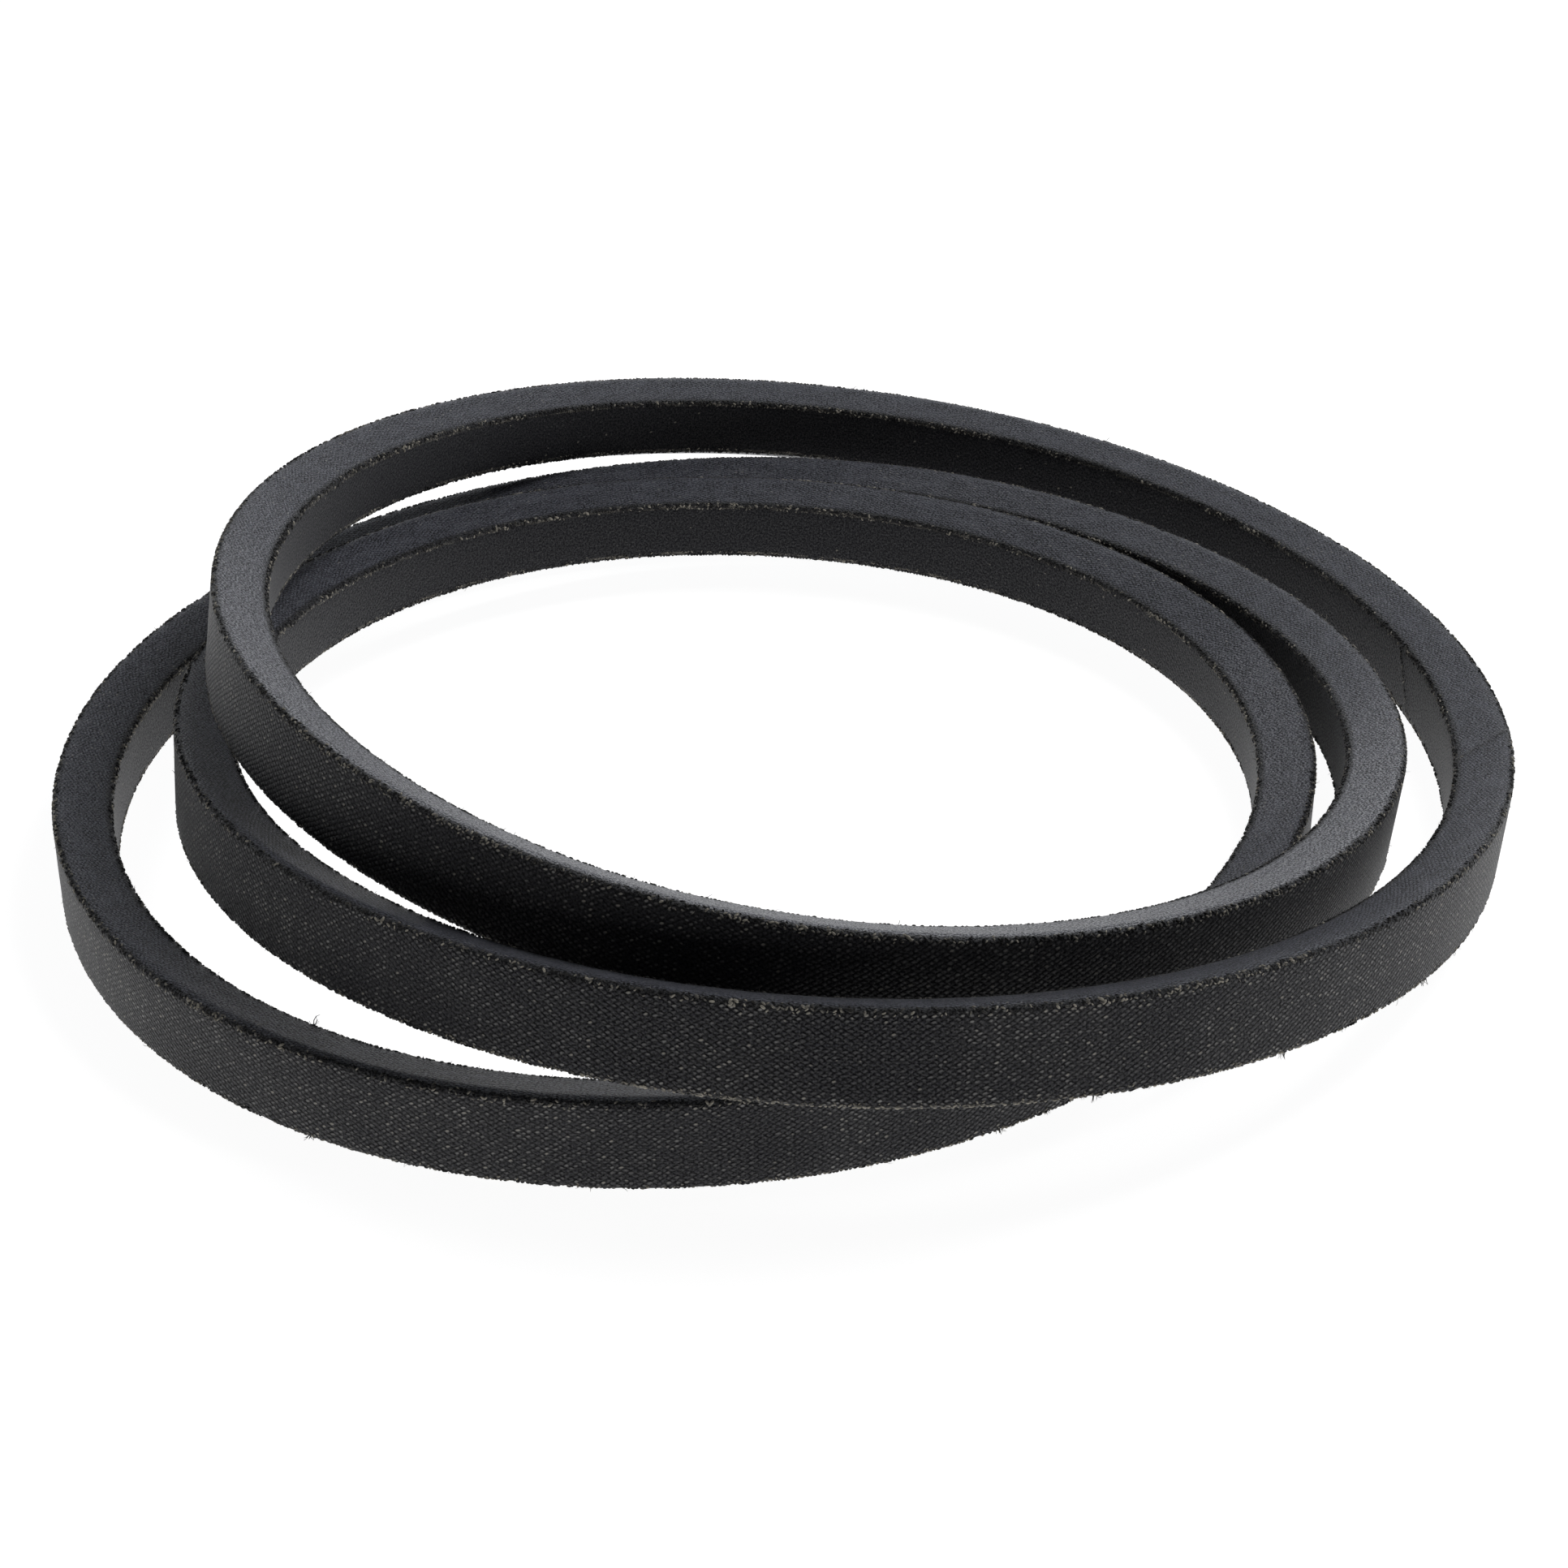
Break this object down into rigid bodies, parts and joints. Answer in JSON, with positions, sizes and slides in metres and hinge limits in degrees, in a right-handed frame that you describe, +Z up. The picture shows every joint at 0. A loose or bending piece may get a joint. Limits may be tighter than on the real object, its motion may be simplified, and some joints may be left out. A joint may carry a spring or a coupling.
{
  "type": "v belt",
  "caption": "Endless fabric-wrapped V belt of the classical A section, laid in loops for storage with its back facing outwards.",
  "frame": {"origin": "on the table, under the middle of the coil's box", "axes": "+Z up out of the coil, +X to the right and +Y away, seen from the front"},
  "size_m": [0.202, 0.1972, 0.038],
  "materials": {
    "cover_fabric": "matt rubberised bias weave, charcoal, with pale specks and worn edges",
    "inner_cover_fabric": "matt rubberised weave, cleaner than the outside",
    "overcord_rubber": "dull moulded rubber",
    "cushion_gum": "tacky soft gum, brownish black",
    "cord_yarn": "twisted cream yarn",
    "compression_rubber": "dull rubber filled with short fibres"
  },
  "bodies": {
    "root": {"outer_cover_ply": "cover_fabric", "inner_cover_ply": "inner_cover_fabric", "overcord_rubber": "overcord_rubber", "upper_cushion_gum": "cushion_gum", "lower_cushion_gum": "cushion_gum", "compression_rubber": "compression_rubber", "tensile_cord_turn_1": "cord_yarn", "tensile_cord_turn_2": "cord_yarn", "tensile_cord_turn_3": "cord_yarn", "tensile_cord_turn_4": "cord_yarn", "tensile_cord_turn_5": "cord_yarn", "tensile_cord_turn_6": "cord_yarn", "tensile_cord_turn_7": "cord_yarn"}
  },
  "joints": []
}
